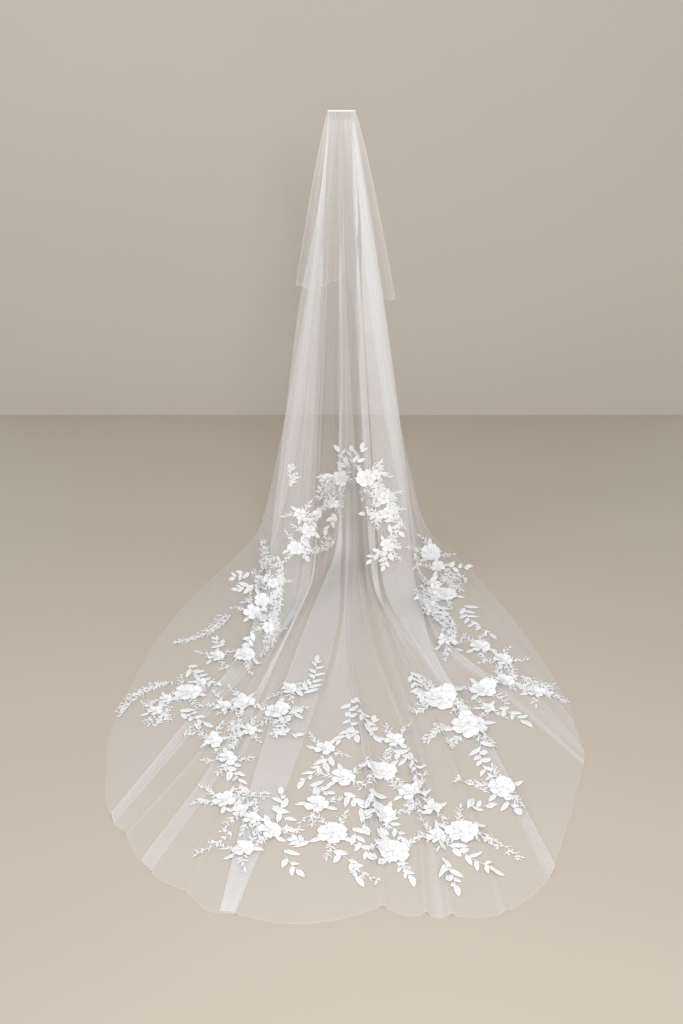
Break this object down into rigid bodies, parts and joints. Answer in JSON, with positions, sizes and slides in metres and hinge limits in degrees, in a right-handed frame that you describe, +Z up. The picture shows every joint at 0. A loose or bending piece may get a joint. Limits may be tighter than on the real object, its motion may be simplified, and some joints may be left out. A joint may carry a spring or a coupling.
{
  "type": "bridal veil on a comb",
  "caption": "Two-tier tulle bridal veil gathered on a hair comb, falling in folds to a rounded train with floral lace applique.",
  "frame": {"origin": "middle of the comb's top edge, where hair holds the veil", "axes": "+Z up, the train runs towards -Y, +X to the right as seen from behind the wearer"},
  "size_m": [1.4655, 2.1419, 1.685],
  "materials": {
    "tulle": "sheer soft white tulle",
    "lace": "matte corded white lace",
    "comb_metal": "pale silver wire comb"
  },
  "bodies": {
    "root": {"comb": "comb_metal", "long_tier": "tulle", "short_tier": "tulle", "lace_arch_left": "lace", "lace_arch_low": "lace", "lace_arch_right": "lace", "lace_arch_top": "lace", "lace_front_left": "lace", "lace_front_right": "lace", "lace_left_centre": "lace", "lace_left_inner": "lace", "lace_left_low": "lace", "lace_left_outer": "lace", "lace_left_top": "lace", "lace_right_front": "lace", "lace_right_inner": "lace", "lace_right_low": "lace", "lace_right_outer": "lace", "lace_right_top": "lace", "lace_right_upper": "lace"}
  },
  "joints": []
}
